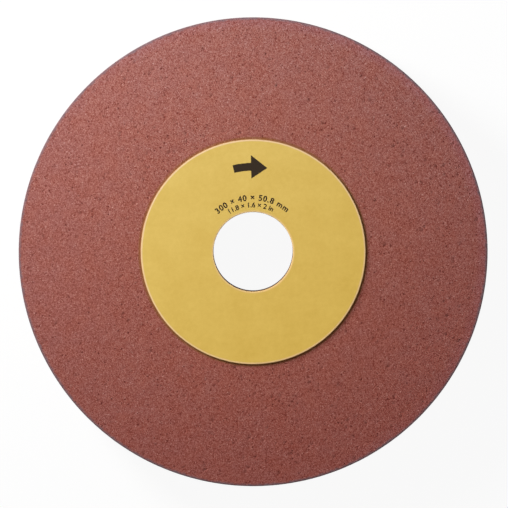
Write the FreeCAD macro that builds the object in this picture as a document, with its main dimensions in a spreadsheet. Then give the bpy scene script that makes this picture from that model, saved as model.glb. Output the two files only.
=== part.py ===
# Straight grinding wheel with a plain bore: a vitrified abrasive body between two paper blotters.
# All sizes are in millimetres. The wheel lies on its rear blotter, axis along +Z, front blotter up.
# The origin is on the bore's axis, in the outer face of the rear blotter.
import FreeCAD, Part
import os

import Sketcher

# Alias, size and meaning of each driving dimension
SIZES = (
    ("wheel_diameter", 300.0, "outside diameter of the abrasive body"),
    ("wheel_width", 40.0, "width of the abrasive body between its two faces"),
    ("bore_diameter", 50.8, "bore that slides on the spindle"),
    ("rim_corner_radius", 0.5, "rounding left by truing where the rim meets each face"),
    ("bore_edge_chamfer", 0.2, "break on the two sharp edges of the bore"),
    ("blotter_diameter", 144.0, "outside diameter of each paper blotter"),
    ("blotter_thickness", 0.8, "thickness of the compressed paper"),
    ("blotter_bore_clearance", 0.1, "gap all round between the blotter's hole and the bore"),
    ("blotter_edge_bevel", 0.2, "edge pressed down by the cutting die, on the outer face"),
)

# Heights of the stack, as expressions of the driving dimensions
REAR_SEAT = "Sizes.blotter_thickness"
FRONT_SEAT = "Sizes.blotter_thickness + Sizes.wheel_width"

# How a sketch constraint names a point: the start, end or centre of an edge, and the sketch's own origin
START, END, CENTRE = 1, 2, 3
ORIGIN = (-1, START)

# Radii and heights nearer than this are the same
TOLERANCE = 1e-6


def make_sizes_sheet(doc):
    """Writes the driving dimensions into a spreadsheet, one row each, with the alias on the number."""
    sheet = doc.addObject("Spreadsheet::Sheet", "Sizes")
    for row, (alias, size, meaning) in enumerate(SIZES, start=1):
        sheet.set(f"A{row}", alias)
        sheet.set(f"B{row}", str(size))
        sheet.set(f"C{row}", meaning)
        sheet.setAlias(f"B{row}", alias)
    doc.recompute()
    return sheet


def new_body(doc, label):
    """A sub-part, named and labelled as the piece that it models."""
    body = doc.addObject("PartDesign::Body", label)
    body.Label = label
    return body


def sketch_on(body, plane_role, name, height=None):
    """A sketch on one of the body's own origin planes, lifted off it by the expression in height."""
    plane = next(f for f in body.Origin.OriginFeatures if f.Role == plane_role)
    sketch = body.newObject("Sketcher::SketchObject", name)
    sketch.AttachmentSupport = (plane, "")
    sketch.MapMode = "FlatFace"
    if height:
        sketch.setExpression(".AttachmentOffset.Base.z", height)
    return sketch


def bind(sketch, constraint, name, size):
    """Adds a driving constraint to the sketch and ties its value to an expression of the sizes."""
    index = sketch.addConstraint(constraint)
    sketch.renameConstraint(index, name)
    sketch.setExpression(f"Constraints.{name}", size)


def draw_section(sketch, inner, outer, bottom, top):
    """A rectangle in the plane of the axis: inner and outer radius across, bottom and top height up."""
    # Rough corners, which the constraints then move
    corners = [FreeCAD.Vector(*xy, 0) for xy in ((1, 1), (2, 1), (2, 2), (1, 2))]
    sides = [
        sketch.addGeometry(Part.LineSegment(start, end), False)
        for start, end in zip(corners, corners[1:] + corners[:1])
    ]
    for side, following in zip(sides, sides[1:] + sides[:1]):
        sketch.addConstraint(Sketcher.Constraint("Coincident", side, END, following, START))
    rear_face, rim, front_face, bore = sides
    for level in (rear_face, front_face):
        sketch.addConstraint(Sketcher.Constraint("Horizontal", level))
    for upright in (rim, bore):
        sketch.addConstraint(Sketcher.Constraint("Vertical", upright))
    across = (("inner_radius", rear_face, inner), ("outer_radius", rim, outer))
    for name, side, size in across:
        distance = Sketcher.Constraint("DistanceX", *ORIGIN, side, START, 1.0)
        bind(sketch, distance, name, size)
    upward = (("rear_height", rear_face, bottom), ("front_height", front_face, top))
    for name, side, size in upward:
        distance = Sketcher.Constraint("DistanceY", *ORIGIN, side, START, 1.0)
        bind(sketch, distance, name, size)


def draw_centred_circle(sketch, name, diameter):
    """A circle about the wheel's axis."""
    centre = FreeCAD.Vector(0, 0, 0)
    axis = FreeCAD.Vector(0, 0, 1)
    circle = sketch.addGeometry(Part.Circle(centre, axis, 1.0), False)
    sketch.addConstraint(Sketcher.Constraint("Coincident", circle, CENTRE, *ORIGIN))
    bind(sketch, Sketcher.Constraint("Diameter", circle, 1.0), name, diameter)


def circular_edges(feature, radius, height=None):
    """Names of the circular edges of a feature's solid with this radius, at this height if one is given."""
    names = []
    for number, edge in enumerate(feature.Shape.Edges, start=1):
        curve = edge.Curve
        if not isinstance(curve, Part.Circle) or abs(curve.Radius - radius) > TOLERANCE:
            continue
        if height is None or abs(curve.Center.z - height) < TOLERANCE:
            names.append(f"Edge{number}")
    return names


def break_edges(body, kind, name, edges, value, size):
    """A Fillet or Chamfer on the body's tip. value is its radius or width property, tied to size."""
    base = body.Tip
    feature = body.newObject(f"PartDesign::{kind}", name)
    feature.Base = (base, edges)
    feature.setExpression(value, size)
    body.Document.recompute()
    return feature


def make_abrasive_wheel(doc, sheet):
    """The bonded abrasive ring: a turned section with rounded rim corners and a lightly broken bore."""
    body = new_body(doc, "abrasive_wheel")
    section = sketch_on(body, "XZ_Plane", "wheel_section")
    draw_section(
        section,
        inner="Sizes.bore_diameter / 2",
        outer="Sizes.wheel_diameter / 2",
        bottom=REAR_SEAT,
        top=FRONT_SEAT,
    )
    ring = body.newObject("PartDesign::Revolution", "wheel_ring")
    ring.Profile = section
    ring.ReferenceAxis = (section, ["V_Axis"])
    ring.Angle = 360.0
    doc.recompute()
    rim_edges = circular_edges(ring, sheet.wheel_diameter / 2)
    break_edges(body, "Fillet", "rim_corners", rim_edges, "Radius", "Sizes.rim_corner_radius")
    bore_edges = circular_edges(body.Tip, sheet.bore_diameter / 2)
    break_edges(body, "Chamfer", "bore_edges", bore_edges, "Size", "Sizes.bore_edge_chamfer")
    return body


def make_blotter(doc, sheet, label, seat, outward):
    """A die-cut paper ring, glued to the wheel face at height seat and growing up or down from it."""
    body = new_body(doc, label)
    outline = sketch_on(body, "XY_Plane", f"{label}_outline", seat)
    draw_centred_circle(outline, "outside", "Sizes.blotter_diameter")
    hole = "Sizes.bore_diameter + 2 * Sizes.blotter_bore_clearance"
    draw_centred_circle(outline, "hole", hole)
    ring = body.newObject("PartDesign::Pad", f"{label}_ring")
    ring.Profile = outline
    ring.setExpression("Length", "Sizes.blotter_thickness")
    ring.Reversed = outward < 0
    doc.recompute()
    # The flat face turned away from the wheel carries the bevelled edges
    bounds = ring.Shape.BoundBox
    outer_face = bounds.ZMax if outward > 0 else bounds.ZMin
    hole_radius = sheet.bore_diameter / 2 + sheet.blotter_bore_clearance
    cut_edges = circular_edges(ring, sheet.blotter_diameter / 2, outer_face)
    cut_edges += circular_edges(ring, hole_radius, outer_face)
    name = f"{label}_bevelled_edges"
    break_edges(body, "Chamfer", name, cut_edges, "Size", "Sizes.blotter_edge_bevel")
    return body


def check_and_export(doc, bodies):
    """Stops on a failed object or a bad solid, then writes each piece to its own file."""
    doc.recompute()
    failed = [o.Name for o in doc.Objects if {"Invalid", "Error"} & set(o.State)]
    if failed:
        raise RuntimeError(f"these objects failed to build: {failed}")
    for body in bodies:
        if body.Shape.isNull() or not body.Shape.isValid() or len(body.Shape.Solids) != 1:
            raise RuntimeError(f"{body.Label} is not one valid solid")
    os.makedirs("parts", exist_ok=True)
    for body in bodies:
        body.Shape.exportStep(os.path.join("parts", f"{body.Label}.step"))
        print(f"{body.Label}: {body.Shape.Volume:.1f} mm3, {len(body.Shape.Faces)} faces")


def main():
    doc = FreeCAD.newDocument("grinding_wheel")
    sheet = make_sizes_sheet(doc)
    bodies = [
        make_blotter(doc, sheet, "rear_blotter", REAR_SEAT, outward=-1),
        make_abrasive_wheel(doc, sheet),
        make_blotter(doc, sheet, "front_blotter", FRONT_SEAT, outward=1),
    ]
    check_and_export(doc, bodies)


main()
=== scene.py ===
import math
from collections import namedtuple

import bmesh
import bpy
import numpy as np
from mathutils import Matrix, Vector, kdtree, noise


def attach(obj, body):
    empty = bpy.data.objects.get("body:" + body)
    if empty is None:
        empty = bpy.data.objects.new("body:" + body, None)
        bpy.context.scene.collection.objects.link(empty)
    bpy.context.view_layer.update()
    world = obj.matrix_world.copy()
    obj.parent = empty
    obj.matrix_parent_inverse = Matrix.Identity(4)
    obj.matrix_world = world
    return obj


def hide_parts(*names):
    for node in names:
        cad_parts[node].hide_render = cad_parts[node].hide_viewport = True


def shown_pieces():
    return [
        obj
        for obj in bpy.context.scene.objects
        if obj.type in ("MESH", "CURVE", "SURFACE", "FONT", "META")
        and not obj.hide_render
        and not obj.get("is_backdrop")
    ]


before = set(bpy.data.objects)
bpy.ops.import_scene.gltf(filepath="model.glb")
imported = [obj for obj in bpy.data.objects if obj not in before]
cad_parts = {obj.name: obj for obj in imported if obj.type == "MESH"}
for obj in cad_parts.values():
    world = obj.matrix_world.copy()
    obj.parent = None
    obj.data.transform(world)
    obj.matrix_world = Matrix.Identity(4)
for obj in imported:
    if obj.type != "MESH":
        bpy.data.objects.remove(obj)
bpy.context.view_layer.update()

MM = 0.001
rng = np.random.default_rng(1671)


def section(node):
    """Radius and height of each point of a CAD solid, all of them turned about the wheel's axis."""
    points = np.array([v.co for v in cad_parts[node].data.vertices])
    return np.hypot(points[:, 0], points[:, 1]), points[:, 2]


def drop_at(radius, radii, heights):
    """How far the highest point at this radius lies under the top: the size of its rounding or bevel."""
    return float(heights.max() - heights[np.abs(radii - radius) < 0.01 * MM].max())


# Sizes of the CAD solids, in metres
wheel_radii, wheel_heights = section("abrasive_wheel")
WHEEL_RADIUS, BORE_RADIUS = float(wheel_radii.max()), float(wheel_radii.min())
REAR_FACE, FRONT_FACE = float(wheel_heights.min()), float(wheel_heights.max())
CORNER_RADIUS = drop_at(WHEEL_RADIUS, wheel_radii, wheel_heights)
BORE_CHAMFER = drop_at(BORE_RADIUS, wheel_radii, wheel_heights)
blotter_radii, blotter_heights = section("front_blotter")
BLOTTER_RADIUS, HOLE_RADIUS = float(blotter_radii.max()), float(blotter_radii.min())
PAPER_FACE = float(blotter_heights.max())
PAPER_THICKNESS = PAPER_FACE - float(blotter_heights.min())
PAPER_EDGE = drop_at(BLOTTER_RADIUS, blotter_radii, blotter_heights)

# One ring of points in a turned mesh. normal is (outward, upward), and loose says how far jitter may move the
# points of the ring within the surface.
Ring = namedtuple("Ring", "radius height spacing normal loose")
FEWEST_POINTS = 24

# Rings this many spacings apart make triangles with nearly equal sides
ROW_PITCH = 0.866

# An edge that turns by less than this is shaded smooth
SMOOTH_UNDER = math.radians(40)


def stitch(ring_a, ring_b):
    """Triangles between two rings with different counts of points, merged in order of angle.

    Each ring is the number of its first point, its count and its phase.
    """
    start_a, count_a, phase_a = ring_a
    start_b, count_b, phase_b = ring_b
    next_a = (np.arange(count_a) + 1 + phase_a) / count_a
    next_b = (np.arange(count_b) + 1 + phase_b) / count_b
    order = np.argsort(np.concatenate([next_a, next_b]), kind="stable")
    from_a = order < count_a
    i = np.cumsum(from_a) - from_a
    j = np.cumsum(~from_a) - ~from_a
    a0, a1 = start_a + i % count_a, start_a + (i + 1) % count_a
    b0, b1 = start_b + j % count_b, start_b + (j + 1) % count_b
    third = np.where(from_a, a1, b1)
    return np.stack([a0, third, b0], axis=1)


def turned(rings, jitter=0.0):
    """Points, outward normals and triangles of a solid whose rings run anticlockwise round its section.

    jitter moves the points at random within the surface, by up to this share of their spacing.
    """
    points, normals, placed = [], [], []
    total = 0
    for ring in rings:
        count = max(FEWEST_POINTS, round(2 * math.pi * ring.radius / ring.spacing))
        phase = rng.random()
        angle = (np.arange(count) + phase) * 2 * math.pi / count
        along = rng.uniform(-1, 1, count) * jitter * ring.loose * ring.spacing
        across = rng.uniform(-1, 1, count) * jitter * ring.loose * ring.spacing
        angle = angle + along / ring.radius
        out, up = Vector(ring.normal).normalized()
        r = ring.radius - across * up
        z = ring.height + across * out
        points.append(np.stack([r * np.cos(angle), r * np.sin(angle), z], axis=1))
        normals.append(np.stack([out * np.cos(angle), out * np.sin(angle), np.full(count, up)], axis=1))
        placed.append((total, count, phase))
        total += count
    faces = [stitch(*pair) for pair in zip(placed, placed[1:] + placed[:1])]
    return np.concatenate(points), np.concatenate(normals), np.concatenate(faces)


def flat_rings(start, end, height, spacing, up, loose=1.0):
    """Rings across a flat face from one radius to another, the first left out and the last kept, unmoved."""
    steps = max(1, round(abs(end - start) / (spacing * ROW_PITCH)))
    radii = np.linspace(start, end, steps + 1)[1:]
    return [Ring(r, height, spacing, (0, up), loose if r != end else 0.0) for r in radii]


def wall_rings(radius, start, end, spacing, out):
    """Rings up or down a wall from one height to another, the first left out and the last kept, unmoved."""
    steps = max(1, round(abs(end - start) / (spacing * ROW_PITCH)))
    heights = np.linspace(start, end, steps + 1)[1:]
    return [Ring(radius, z, spacing, (out, 0), 1.0 if z != end else 0.0) for z in heights]


def corner_rings(centre_r, centre_z, radius, start, end, steps, spacing):
    """Rings round a quarter-round corner, angles in degrees in the plane of the section."""
    rings = []
    for angle in np.linspace(start, end, steps + 1)[1:]:
        c, s = math.cos(math.radians(angle)), math.sin(math.radians(angle))
        rings.append(Ring(centre_r + radius * c, centre_z + radius * s, spacing, (c, s), 0.0))
    return rings


def put_in_scene(name, data):
    """A new object that shows the data."""
    item = bpy.data.objects.new(name, data)
    bpy.context.scene.collection.objects.link(item)
    return item


def new_piece(name, points, faces):
    """A mesh object, shaded smooth except over its sharp edges."""
    mesh = bpy.data.meshes.new(name)
    mesh.from_pydata(points.tolist(), [], faces.tolist())
    mesh.polygons.foreach_set("use_smooth", [True] * len(mesh.polygons))
    mesh.set_sharp_from_angle(angle=SMOOTH_UNDER)
    mesh.validate()
    return put_in_scene(name, mesh)


# The wheel's faces are flat out to COVERED_RADIUS, under the blotters, and coarse out to COARSE_RADIUS
COVERED_RADIUS = BLOTTER_RADIUS - 0.4 * MM
COARSE_RADIUS = BLOTTER_RADIUS - 0.6 * MM

# Pits in the front face that stand out in the photograph, placed one by one, as (x, y) in whole millimetres
LARGE_PITS = (
    (-13, 111), (-85, 72), (-43, 76), (-117, 84), (-83, 37), (-78, 49), (-70, 46), (61, 86),
    (108, 44), (122, 55), (-83, -23), (-83, -39), (-110, -59), (83, -50), (138, -23), (132, -57),
)
LARGE_PIT_RADIUS = 1.0 * MM
LARGE_PIT_DEPTH = 0.5 * MM

# Pits at random, all over but in the bore and within COVERED_RADIUS: their count, their radius in
# millimetres, and their depth as a share of the radius
SMALL_PIT_COUNT = 900
SMALL_PIT_RADIUS = (0.6, 1.2)
SMALL_PIT_DEPTH = (0.25, 0.5)

# The rim's corners are so small that a deeper dent would fold them over. Their roughness is a range of random
# extra depth, in millimetres.
DEEPEST_AT_CORNER = 0.15 * MM
CORNER_ROUGHNESS = (0.0, 0.06)

# Depth of the grain in the bore, as a share of its depth elsewhere
BORE_GRAIN = 0.6


def abrasive_rings():
    """The section of the abrasive body, with points close together where the photograph shows it."""
    # Spacing of the points on each stretch of the section
    hidden, bore_edge, bore_wall = 4.0 * MM, 1.8 * MM, 1.6 * MM
    rear, rear_corner, rim = 2.1 * MM, 1.4 * MM, 1.5 * MM
    front_corner, front = 1.15 * MM, 1.12 * MM
    inner = BORE_RADIUS + BORE_CHAMFER
    bore_low, bore_high = REAR_FACE + BORE_CHAMFER, FRONT_FACE - BORE_CHAMFER
    rim_start = WHEEL_RADIUS - CORNER_RADIUS
    low, high = REAR_FACE + CORNER_RADIUS, FRONT_FACE - CORNER_RADIUS
    rings = [Ring(inner, REAR_FACE, bore_edge, (0, -1), 0.0)]
    rings += flat_rings(inner, COARSE_RADIUS, REAR_FACE, hidden, -1, loose=0.0)
    rings += flat_rings(COARSE_RADIUS, rim_start, REAR_FACE, rear, -1)
    rings += corner_rings(rim_start, low, CORNER_RADIUS, -90, 0, steps=3, spacing=rear_corner)
    rings += wall_rings(WHEEL_RADIUS, low, high, rim, 1)
    rings += corner_rings(rim_start, high, CORNER_RADIUS, 0, 90, steps=3, spacing=front_corner)
    rings += flat_rings(rim_start, COARSE_RADIUS, FRONT_FACE, front, 1)
    rings += flat_rings(COARSE_RADIUS, inner, FRONT_FACE, hidden, 1, loose=0.0)
    rings += [Ring(BORE_RADIUS, bore_high, bore_wall, (-1, 1), 0.0)]
    rings += wall_rings(BORE_RADIUS, bore_high, bore_low, bore_wall, -1)
    return rings


def grain_depth(points):
    """How far the surface lies under the true form, from the grains and from gentle unevenness."""
    # The size of each pattern, then the mean depth and what each pattern adds or takes off, in millimetres
    fine_size, broad_size = 1.3 * MM, 5.0 * MM
    mean, fine_part, broad_part = 0.030, 0.012, 0.010
    depth = np.empty(len(points))
    for k, p in enumerate(points):
        fine = noise.noise(Vector(p) / fine_size)
        broad = noise.noise(Vector(p) / broad_size)
        depth[k] = mean + fine_part * fine + broad_part * broad
    return np.maximum(depth, 0.0) * MM


def press_pits(points, depth, free):
    """Pores and torn-out grains: small pits at random, and the large ones by place.

    Deepens depth where free, and returns each point's depth in a pit, as a share of a large pit's depth.
    """
    tree = kdtree.KDTree(len(points))
    for k, p in enumerate(points):
        tree.insert(p, k)
    tree.balance()
    centres = points[rng.choice(np.flatnonzero(free), SMALL_PIT_COUNT, replace=False)]
    radii = rng.uniform(*SMALL_PIT_RADIUS, len(centres)) * MM
    pits = [(Vector(c), r, r * rng.uniform(*SMALL_PIT_DEPTH)) for c, r in zip(centres, radii)]
    for x, y in LARGE_PITS:
        pits.append((Vector((x * MM, y * MM, FRONT_FACE)), LARGE_PIT_RADIUS, LARGE_PIT_DEPTH))
    share = np.zeros(len(points))
    for centre, radius, deepest in pits:
        for _, k, distance in tree.find_range(centre, radius):
            if free[k]:
                dent = deepest * (1 - (distance / radius) ** 2)
                depth[k] = max(depth[k], dent)
                share[k] = max(share[k], dent / LARGE_PIT_DEPTH)
    return share


def make_abrasive():
    """The abrasive body, with its grain and pits, and flat under the blotters."""
    points, normals, faces = turned(abrasive_rings(), jitter=0.22)
    r = np.hypot(points[:, 0], points[:, 1])
    covered = (r < COVERED_RADIUS) & (np.abs(normals[:, 2]) > 0.9)
    bore = r < BORE_RADIUS + 1.5 * BORE_CHAMFER
    depth = grain_depth(points)
    pit = press_pits(points, depth, ~covered & ~bore)
    reach = 1.1 * CORNER_RADIUS
    to_face = np.minimum(points[:, 2] - REAR_FACE, FRONT_FACE - points[:, 2])
    corner = (r > WHEEL_RADIUS - reach) & (to_face < reach)
    depth[corner] = np.minimum(depth[corner], DEEPEST_AT_CORNER)
    depth[corner] += rng.uniform(*CORNER_ROUGHNESS, corner.sum()) * MM
    depth[bore] *= BORE_GRAIN
    depth[covered] = 0.0
    piece = new_piece("abrasive_body", points - normals * depth[:, None], faces)
    piece.data.attributes.new("pit", "FLOAT", "POINT").data.foreach_set("value", pit)
    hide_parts("abrasive_wheel")
    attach(piece, "root")
    return piece


# The print stands this far proud of the front paper, which is thinner by as much, and its foot is sunk in it
INK_PROUD = 0.02 * MM
INK_TOP = PAPER_FACE
INK_FOOT = INK_TOP - 0.08 * MM


def blotter_points(face):
    """A die-cut paper ring that stands on height 0 and reaches up to its outer face, edges rolled over."""
    inner, outer = HOLE_RADIUS, BLOTTER_RADIUS
    shoulder = face - PAPER_EDGE
    # Spacing of the points, closer in a band along both edges of the outer face
    edge, middle, hidden = 1.4 * MM, 2.6 * MM, 6.0 * MM
    band = 1.2 * MM
    rings = [Ring(inner, 0.0, edge, (0, -1), 0.0)]
    rings += flat_rings(inner, outer, 0.0, hidden, -1, loose=0.0)[:-1]
    rings += [Ring(outer, 0.0, edge, (1, 0), 0.0)]
    rings += [Ring(outer, shoulder, edge, (1, 0), 0.0)]
    rings += corner_rings(outer - PAPER_EDGE, shoulder, PAPER_EDGE, 0, 90, steps=4, spacing=edge)
    rings += flat_rings(outer - PAPER_EDGE, outer - band, face, edge, 1, loose=0.0)
    rings += flat_rings(outer - band, inner + band, face, middle, 1, loose=0.0)
    rings += flat_rings(inner + band, inner + PAPER_EDGE, face, edge, 1, loose=0.0)
    rings += corner_rings(inner + PAPER_EDGE, shoulder, PAPER_EDGE, 90, 180, steps=4, spacing=edge)
    points, _, faces = turned(rings)
    return points, faces


def make_blotter(name, node, thickness, seat, mirrored=False):
    """One blotter, made standing on height 0 and set on its seat, turned over for the rear face."""
    points, faces = blotter_points(thickness)
    if mirrored:
        points[:, 2] = seat - points[:, 2]
        faces = faces[:, ::-1]
    else:
        points[:, 2] += seat
    piece = new_piece(name, points, faces)
    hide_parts(node)
    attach(piece, "root")
    return piece


# Height of a figure in Blender's own font, as a share of the font's size
FIGURE_HEIGHT = 0.72

# Points of the figures' caps and walls that are nearer than this become one
JOINED_WITHIN = 0.03 * MM

# A sharp tip moves outward by at most this many times the weight
LONGEST_TIP = 1.6


def embolden(mesh, weight):
    """Joins caps and walls of extruded figures into closed solids, and moves the walls outward by weight."""
    figures = bmesh.new()
    figures.from_mesh(mesh)
    bmesh.ops.remove_doubles(figures, verts=figures.verts, dist=JOINED_WITHIN)
    figures.normal_update()
    shifts = []
    for vertex in figures.verts:
        walls = [face.normal for face in vertex.link_faces if abs(face.normal.z) < 0.5]
        outward = sum(walls, Vector())
        # Two walls meet again at their mitre, 2 / |sum of normals| away, but a sharp tip is cut short
        reach = min(2 / outward.length, LONGEST_TIP) if outward.length > 1e-6 else 0.0
        shifts.append(outward.normalized() * reach * weight)
    for vertex, shift in zip(figures.verts, shifts):
        vertex.co += shift
    figures.to_mesh(mesh)
    figures.free()


def on_arc(radius, angle, height):
    """A point at this distance from the bore's axis, the angle in radians anticlockwise from +X."""
    return radius * math.cos(angle), radius * math.sin(angle), height


def curved_figures(name, text, height, baseline, centre_angle, stretch, weight):
    """Plain figures along an arc round the bore. Angles in degrees from straight up, clockwise."""
    curve = bpy.data.curves.new(name, "FONT")
    curve.body = text
    curve.size = height / FIGURE_HEIGHT
    curve.space_character = stretch
    curve.align_x = "CENTER"
    # Any thickness will do here, because the caps are set to the ink's top and foot below
    curve.extrude = 0.5
    curve.resolution_u = 5
    holder = put_in_scene(name + "_curve", curve)
    bpy.context.view_layer.update()
    graph = bpy.context.evaluated_depsgraph_get()
    mesh = bpy.data.meshes.new_from_object(holder.evaluated_get(graph))
    bpy.data.objects.remove(holder)
    embolden(mesh, weight)
    for vertex in mesh.vertices:
        x, y, z = vertex.co
        angle = math.radians(90 - centre_angle) - x / (baseline + height / 2)
        vertex.co = on_arc(baseline + y, angle, INK_TOP if z > 0 else INK_FOOT)
    mesh.name = name
    return put_in_scene(name, mesh)


def arc_arrow(name, radius, centre_angle, half_span, width, head_span, head_width):
    """A curved arrow round the bore, pointing clockwise. Angles in degrees from straight up, clockwise."""
    start, end = centre_angle - half_span, centre_angle + half_span
    neck = end - head_span
    steps = 24
    shaft = [start + (neck - start) * k / steps for k in range(steps + 1)]
    outer = [(radius + width / 2, angle) for angle in shaft]
    inner = [(radius - width / 2, angle) for angle in shaft]
    head = [(radius + head_width / 2, neck), (radius, end), (radius - head_width / 2, neck)]
    outline = outer + head + inner[::-1]
    count = len(outline)
    points = [on_arc(r, math.radians(90 - angle), z) for z in (INK_TOP, INK_FOOT) for r, angle in outline]
    faces = [tuple(range(count))[::-1], tuple(range(count, 2 * count))]
    faces += [(k, (k + 1) % count, count + (k + 1) % count, count + k) for k in range(count)]
    mesh = bpy.data.meshes.new(name)
    mesh.from_pydata(points, [], faces)
    mesh.validate()
    return put_in_scene(name, mesh)


class Nodes:
    """Shorthand for building a material's node tree. Colours are linear (red, green, blue)."""

    def __init__(self, name):
        self.material = bpy.data.materials.new(name)
        self.material.use_nodes = True
        self.tree = self.material.node_tree
        self.tree.nodes.clear()
        self.shader = self.add("ShaderNodeBsdfPrincipled")
        out = self.add("ShaderNodeOutputMaterial")
        self.tree.links.new(self.shader.outputs[0], out.inputs["Surface"])
        self.position = self.add("ShaderNodeTexCoord").outputs["Object"]

    def add(self, kind, inputs=None, **settings):
        node = self.tree.nodes.new(kind)
        for key, value in settings.items():
            setattr(node, key, value)
        self.feed(node, inputs or {})
        return node

    def feed(self, node, inputs):
        """Links each input to an output, or sets it to a plain value."""
        for key, value in inputs.items():
            socket = node.inputs[key]
            if isinstance(value, bpy.types.NodeSocket):
                self.tree.links.new(value, socket)
            elif socket.type == "RGBA":
                socket.default_value = (*value, 1.0)
            else:
                socket.default_value = value

    def math(self, operation, a, b=0.0, clamp=False):
        return self.add("ShaderNodeMath", {0: a, 1: b}, operation=operation, use_clamp=clamp).outputs[0]

    def remap(self, value, low, high, to_low=0.0, to_high=1.0, smooth=False):
        kind = "SMOOTHSTEP" if smooth else "LINEAR"
        sockets = {"Value": value, "From Min": low, "From Max": high, "To Min": to_low, "To Max": to_high}
        return self.add("ShaderNodeMapRange", sockets, interpolation_type=kind).outputs[0]

    def noise(self, size, detail=2.0, roughness=0.5):
        sockets = {"Vector": self.position, "Scale": 1 / size, "Detail": detail, "Roughness": roughness}
        return self.add("ShaderNodeTexNoise", sockets).outputs[0]

    def cells(self, size):
        """Distance from the middle of a cell, and a random colour that each cell has to itself."""
        node = self.add("ShaderNodeTexVoronoi", {"Vector": self.position, "Scale": 1 / size}, feature="F1")
        return node.outputs["Distance"], node.outputs["Color"]

    def channels(self, colour):
        """Red, green and blue: three random numbers, where the colour is a cell's own."""
        return self.add("ShaderNodeSeparateColor", {0: colour}).outputs

    def weighted(self, *terms):
        """Sum of values, each times its weight."""
        total = 0.0
        for value, weight in terms:
            sockets = {0: value, 1: weight, 2: total}
            total = self.add("ShaderNodeMath", sockets, operation="MULTIPLY_ADD").outputs[0]
        return total

    def jittered(self, value, pattern, amount):
        """The value moved up and down by a pattern that runs about 0.5."""
        return self.math("ADD", value, self.math("MULTIPLY", self.math("SUBTRACT", pattern, 0.5), amount))

    def radius_and_height(self):
        """Distance from the wheel's axis, and height."""
        parts = self.add("ShaderNodeSeparateXYZ", {0: self.position}).outputs
        flat = self.add("ShaderNodeCombineXYZ", {0: parts[0], 1: parts[1]}).outputs[0]
        return self.add("ShaderNodeVectorMath", {0: flat}, operation="LENGTH").outputs["Value"], parts[2]

    def across(self, direction, reach):
        """0 on one side of the wheel and 1 on the other, along a direction in the plane of its face."""
        sockets = {0: self.position, 1: (*direction, 0.0)}
        along = self.add("ShaderNodeVectorMath", sockets, operation="DOT_PRODUCT").outputs["Value"]
        return self.remap(along, -reach, reach)

    def ramp(self, value, stops):
        node = self.add("ShaderNodeValToRGB", {0: value})
        elements = node.color_ramp.elements
        while len(elements) < len(stops):
            elements.new(0.5)
        for element, (place, colour) in zip(elements, stops):
            element.position = place
            element.color = (*colour, 1.0)
        return node.outputs[0]

    def mix(self, factor, a, b, blend="MIX"):
        node = self.add("ShaderNodeMix", data_type="RGBA", blend_type=blend)
        self.feed(node, {0: factor, 6: a, 7: b})
        return node.outputs[2]

    def tinted(self, colour, factor, low, high):
        """The colour times a tint that goes from low to high with the factor."""
        return self.mix(1.0, colour, self.mix(factor, low, high), "MULTIPLY")

    def coated(self, colour, mask, strength, coat):
        """The colour under a coat that covers it by the strength where the mask is 1."""
        return self.mix(self.math("MULTIPLY", mask, strength), colour, coat)

    def shade(self, colour, roughness, specular, bump=None):
        """The finished material. bump is (strength, distance, height)."""
        self.feed(self.shader, {"Base Color": colour, "Roughness": roughness, "Specular IOR Level": specular})
        if bump:
            sockets = dict(zip(("Strength", "Distance", "Height"), bump))
            self.feed(self.shader, {"Normal": self.add("ShaderNodeBump", sockets).outputs[0]})
        return self.material


UNTINTED = (1, 1, 1)


def firing_clouds_and_painted_light(n, colour, radius):
    """Rosy and brown clouds, where mix or firing was not quite even, under painted light: brighter and warmer
    towards the middle, paler and bluer towards the top, deeper red towards the bottom.
    """
    cloud = n.remap(n.noise(9 * MM, 3.0), 0.30, 0.70)
    colour = n.tinted(colour, cloud, (1.02, 0.98, 0.95), (0.98, 1.01, 1.05))
    # Painted light: the face is brighter and warmer towards the middle and cooler towards the rim
    outward = n.remap(radius, WHEEL_RADIUS / 2, WHEEL_RADIUS - 5 * MM)
    colour = n.tinted(colour, outward, (1.06, 1.04, 0.98), (1.00, 1.02, 1.03))
    # Painted light: a paler, bluer sheen towards the top and a deeper red towards the bottom
    upward = n.across((-0.22, 0.98), WHEEL_RADIUS)
    return n.tinted(colour, upward, (1.03, 0.84, 0.81), (1.04, 1.09, 1.11))


def rim_sheen_and_worn_corners(n, colour, radius, height):
    """A painted cool sheen before the rim, strongest at the upper right, and grey corners, ragged and patchy.
    """
    # Painted sheen: a bluish tint near the rim, strongest at the upper right
    painted_rim_sheen = n.math(
        "MULTIPLY",
        n.remap(radius, WHEEL_RADIUS - 9.0 * MM, WHEEL_RADIUS - 2.0 * MM, smooth=True),
        n.remap(n.across((0.8, 0.6), WHEEL_RADIUS), 0.2, 1.0),
    )
    colour = n.tinted(colour, painted_rim_sheen, UNTINTED, (1.00, 1.03, 1.20))
    middle, half = (FRONT_FACE + REAR_FACE) / 2, (FRONT_FACE - REAR_FACE) / 2
    from_middle = n.math("ABSOLUTE", n.math("SUBTRACT", height, middle))
    wear = n.noise(2.2 * MM, 2.0)
    worn_radius = n.jittered(radius, wear, 2.4 * MM)
    worn_height = n.jittered(from_middle, wear, 2.0 * MM)
    corner = n.math(
        "MULTIPLY",
        n.remap(worn_radius, WHEEL_RADIUS - 2.2 * MM, WHEEL_RADIUS - 0.4 * MM, smooth=True),
        n.remap(worn_height, half - 1.4 * MM, half - 0.4 * MM, smooth=True),
    )
    patchy = n.remap(n.noise(5 * MM, 1.0), 0.30, 0.70, 0.55, 0.85)
    return n.coated(colour, corner, patchy, (0.160, 0.124, 0.145))


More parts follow.
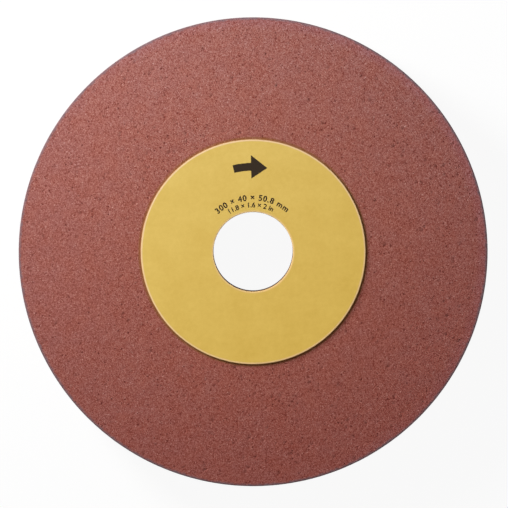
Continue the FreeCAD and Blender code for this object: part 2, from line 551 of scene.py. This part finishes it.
def abrasive_material():
    """Pink bonded grains with open pores, worn at the rim and glued at the blotters, under painted light and
    shade.
    """
    n = Nodes("bonded_abrasive")
    radius, height = n.radius_and_height()
    from_grain, grain_colour = n.cells(0.60 * MM)
    _, crumb_colour = n.cells(0.38 * MM)
    from_cluster, _ = n.cells(0.85 * MM)
    from_pore, pore_colour = n.cells(2.1 * MM)
    grain, crumb = n.channels(grain_colour), n.channels(crumb_colour)

    # Lightness: each grain its own, finer crumbs between them, clusters that stand apart, a faint unevenness
    uneven = n.noise(9 * MM, 1.0)
    tone = n.weighted((grain[0], 0.40), (crumb[0], 0.36), (from_cluster, -0.45), (uneven, 0.07))
    colour = n.ramp(n.math("ADD", tone, 0.290), (
        (0.03, (0.163, 0.030, 0.023)),
        (0.30, (0.257, 0.077, 0.061)),
        (0.60, (0.335, 0.126, 0.104)),
        (0.86, (0.412, 0.190, 0.163)),
        (0.97, (0.640, 0.390, 0.350)),
    ))
    # Clouds from the firing, and painted light: brighter in the middle, paler at the top
    colour = firing_clouds_and_painted_light(n, colour, radius)

    # Open pores and the pits of the mesh: painted shade in some of the cells of a coarser pattern, and in the
    # mesh's pits
    size = n.remap(n.channels(pore_colour)[0], 0.60, 1.0, 0.0, 0.34)
    pore = n.remap(n.math("SUBTRACT", size, from_pore), 0.0, 0.10, smooth=True)
    pit = n.add("ShaderNodeAttribute", attribute_name="pit").outputs["Fac"]
    pore_and_pit_shade = n.math("MAXIMUM", n.math("MULTIPLY", pore, 0.76), n.math("MULTIPLY", pit, 0.52), clamp=True)
    colour = n.mix(pore_and_pit_shade, colour, (0.115, 0.017, 0.014))
    # Painted cool sheen near the rim, and grey worn corners
    colour = rim_sheen_and_worn_corners(n, colour, radius, height)

    # Dried glue round each blotter, with painted shade at the foot of the blotter's edge, all round
    glue_and_foot_shade = n.remap(radius, BLOTTER_RADIUS + 2.1 * MM, BLOTTER_RADIUS + 0.8 * MM, smooth=True)
    colour = n.coated(colour, glue_and_foot_shade, 0.50, (0.180, 0.085, 0.004))

    # Painted shade: the rim's wall is a little darker, toning down the key's strong light on it
    wall = n.remap(radius, WHEEL_RADIUS - 0.7 * MM, WHEEL_RADIUS - 0.2 * MM)
    colour = n.tinted(colour, wall, UNTINTED, (0.74, 0.71, 0.70))

    # Painted shade: the bore's wall is darker, standing in for the shade inside the bore
    bore = n.remap(radius, BORE_RADIUS + 0.5 * MM, BORE_RADIUS + 0.1 * MM)
    colour = n.coated(colour, bore, 0.75, (0.095, 0.043, 0.009))

    # Relief: domed grains, sunk pores
    dome = n.remap(from_grain, 0.0, 0.75, 1.0, 0.0)
    relief = n.weighted((dome, 0.7), (grain[1], 0.6), (crumb[1], 0.25), (pore, -1.6))
    roughness = n.remap(grain[2], 0.0, 1.0, 0.50, 0.75)
    return n.shade(colour, roughness, specular=0.05, bump=(0.55, 0.14 * MM, relief))


def paper_material():
    """Yellow paper with pale cut edges."""
    n = Nodes("blotter_paper")
    radius, _ = n.radius_and_height()

    # Yellow face with faint clouds and fibres
    clouds = n.noise(14 * MM, 3.0)
    mottle = n.noise(3.2 * MM, 1.0)
    fibres = n.noise(0.7 * MM, 4.0, 0.65)
    tone = n.weighted((clouds, 0.40), (mottle, 0.25), (fibres, 0.35))
    face = n.ramp(tone, (
        (0.30, (0.652, 0.438, 0.086)),
        (0.55, (0.710, 0.498, 0.112)),
        (0.80, (0.768, 0.558, 0.141)),
    ))

    # The die leaves the pale core bare along both cut edges
    ragged = n.jittered(radius, n.noise(2.5 * MM), 0.25 * MM)
    outer_edge = n.remap(ragged, BLOTTER_RADIUS - 1.50 * MM, BLOTTER_RADIUS - 0.70 * MM, smooth=True)
    inner_edge = n.remap(ragged, HOLE_RADIUS + 1.40 * MM, HOLE_RADIUS + 0.20 * MM, 0.0, 0.7, smooth=True)
    colour = n.mix(n.math("MAXIMUM", outer_edge, inner_edge), face, (0.83, 0.58, 0.30))

    # Painted light: the sheet is warmer and brighter towards the lower right and cooler towards the upper
    # left, evening out the key's falloff
    painted_light_drift = n.across((0.50, -0.866), BLOTTER_RADIUS)
    colour = n.tinted(colour, painted_light_drift, (0.94, 0.94, 1.05), (1.09, 1.03, 0.90))

    # Glue has soaked into the outermost edge, which is also painted darker as shade along the edge's dark
    # line
    glue_soak_and_shade = n.remap(radius, BLOTTER_RADIUS - 0.50 * MM, BLOTTER_RADIUS - 0.10 * MM, smooth=True)
    colour = n.coated(colour, glue_soak_and_shade, 0.85, (0.300, 0.140, 0.025))

    roughness = n.remap(fibres, 0.3, 0.7, 0.62, 0.75)
    return n.shade(colour, roughness, specular=0.22, bump=(0.18, 0.03 * MM, fibres))


def ink_material():
    """Dark ink, a little uneven."""
    n = Nodes("print_ink")
    speckle = n.noise(0.35 * MM, 3.0, 0.7)
    colour = n.ramp(speckle, (
        (0.35, (0.010, 0.005, 0.002)),
        (0.75, (0.034, 0.018, 0.006)),
    ))
    return n.shade(colour, n.remap(speckle, 0.3, 0.7, 0.60, 0.78), specular=0.2)


def seen_by_camera(tree):
    """1 for what the camera sees, straight or in a gloss or glass, and 0 for light on its way."""
    path = tree.nodes.new("ShaderNodeLightPath")
    value = path.outputs["Is Camera Ray"]
    for name in ("Is Glossy Ray", "Is Transmission Ray"):
        larger = tree.nodes.new("ShaderNodeMath")
        larger.operation = "MAXIMUM"
        tree.links.new(value, larger.inputs[0])
        tree.links.new(path.outputs[name], larger.inputs[1])
        value = larger.outputs[0]
    return value


def make_floor():
    """A wide white floor just under the wheel. Most of its white is its own glow, so the shadow is faint."""
    size, height, glow_share = 20.0, -0.1 * MM, 0.93
    mesh = bpy.data.meshes.new("floor")
    corners = [(x * size, y * size, height) for x, y in ((-1, -1), (1, -1), (1, 1), (-1, 1))]
    mesh.from_pydata(corners, [], [(0, 1, 2, 3)])
    floor = put_in_scene("floor", mesh)
    floor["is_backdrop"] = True
    material = bpy.data.materials.new("floor_white")
    material.use_nodes = True
    tree = material.node_tree
    tree.nodes.clear()
    out = tree.nodes.new("ShaderNodeOutputMaterial")
    diffuse = tree.nodes.new("ShaderNodeBsdfDiffuse")
    diffuse.inputs["Color"].default_value = (0.9, 0.9, 0.9, 1)
    glow = tree.nodes.new("ShaderNodeEmission")
    glow.inputs["Strength"].default_value = 1.0
    share = tree.nodes.new("ShaderNodeMath")
    share.operation = "MULTIPLY"
    share.inputs[1].default_value = glow_share
    tree.links.new(seen_by_camera(tree), share.inputs[0])
    blend = tree.nodes.new("ShaderNodeMixShader")
    tree.links.new(share.outputs[0], blend.inputs[0])
    tree.links.new(diffuse.outputs[0], blend.inputs[1])
    tree.links.new(glow.outputs[0], blend.inputs[2])
    tree.links.new(blend.outputs[0], out.inputs["Surface"])
    floor.data.materials.append(material)


def make_world():
    """White behind everything, and a little even light from all round."""
    even_light, seen_white = 0.12, 1.0
    world = bpy.data.worlds.new("studio")
    bpy.context.scene.world = world
    world.use_nodes = True
    tree = world.node_tree
    background = next(n for n in tree.nodes if n.type == "BACKGROUND")
    background.inputs["Color"].default_value = (1, 1, 1, 1)
    strength = tree.nodes.new("ShaderNodeMapRange")
    strength.inputs["To Min"].default_value = even_light
    strength.inputs["To Max"].default_value = seen_white
    tree.links.new(seen_by_camera(tree), strength.inputs["Value"])
    tree.links.new(strength.outputs[0], background.inputs["Strength"])


def make_light(name, place, aim, width, height, power, colour):
    """A soft rectangular window of light, which faces the point aim."""
    light = bpy.data.lights.new(name, "AREA")
    light.shape = "RECTANGLE"
    light.size, light.size_y = width, height
    light.energy = power
    light.color = colour
    lamp = put_in_scene(name, light)
    lamp.location = place
    lamp.rotation_euler = (Vector(aim) - lamp.location).to_track_quat("-Z", "Y").to_euler()


def make_camera():
    """Nearly straight above, a touch towards the top, so that the bore's lower wall just shows."""
    distance, view_width, farthest = 8.0, 0.3248, 20.0
    sensor_width = 36.0
    camera = bpy.data.cameras.new("camera")
    camera.sensor_width = sensor_width
    camera.lens = sensor_width * distance / view_width
    camera.clip_end = farthest
    eye = put_in_scene("camera", camera)
    # A little beside the axis, so that the wheel stands in the picture as in the photograph
    aim = Vector((0.00054, -0.00139, FRONT_FACE))
    eye.location = aim + Vector((-0.012, 0.140, distance))
    direction = (aim - eye.location).normalized()
    right = direction.cross(Vector((0, 1, 0))).normalized()
    up = right.cross(direction)
    eye.rotation_euler = Matrix((right, up, -direction)).transposed().to_euler()
    bpy.context.scene.camera = eye


bpy.context.scene.view_settings.view_transform = "Standard"

abrasive = make_abrasive()
abrasive.data.materials.append(abrasive_material())

paper = paper_material()
front = make_blotter("front_paper", "front_blotter", PAPER_THICKNESS - INK_PROUD, FRONT_FACE)
rear = make_blotter("rear_paper", "rear_blotter", PAPER_THICKNESS, REAR_FACE, mirrored=True)
for blotter in (front, rear):
    blotter.data.materials.append(paper)

ink = ink_material()
prints = [
    curved_figures(
        "print_size_mm", "300 × 40 × 50.8 mm",
        height=3.7 * MM, baseline=33.0 * MM, centre_angle=-1.5, stretch=1.18, weight=0.14 * MM,
    ),
    curved_figures(
        "print_size_inch", "11.8 × 1.6 × 2 in",
        height=3.2 * MM, baseline=28.5 * MM, centre_angle=-3.5, stretch=1.02, weight=0.11 * MM,
    ),
    arc_arrow(
        "print_arrow", radius=54.4 * MM, centre_angle=-1.9, half_span=11.5,
        width=5.0 * MM, head_span=11.0, head_width=15.0 * MM,
    ),
]
for piece in prints:
    piece.data.materials.clear()
    piece.data.materials.append(ink)
    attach(piece, "root")

make_floor()
make_world()
# The key lights the grain from the upper left and faces past the wheel's upper right, so that it fades
# towards the lower right. The rake, lower and further off, widens the soft shadow beside the blotter. A weak
# low fill keeps the far side of the rim readable.
make_light(
    "key", place=(-0.665, 0.558, 0.427), aim=(0.39, 0.46, FRONT_FACE),
    width=0.32, height=0.62, power=19.2, colour=(0.99, 0.99, 0.98),
)
make_light(
    "rake", place=(-0.996, 0.836, 0.342), aim=(0, 0, FRONT_FACE),
    width=0.4, height=0.12, power=9.8, colour=(0.99, 0.99, 0.98),
)
make_light(
    "fill", place=(0.80, -0.75, 0.13), aim=(0, 0, FRONT_FACE),
    width=1.0, height=0.2, power=4.2, colour=(0.98, 0.99, 1.0),
)
make_camera()

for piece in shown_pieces():
    if piece.type == "MESH":
        print(piece.name, sum(len(p.vertices) - 2 for p in piece.data.polygons), "triangles")
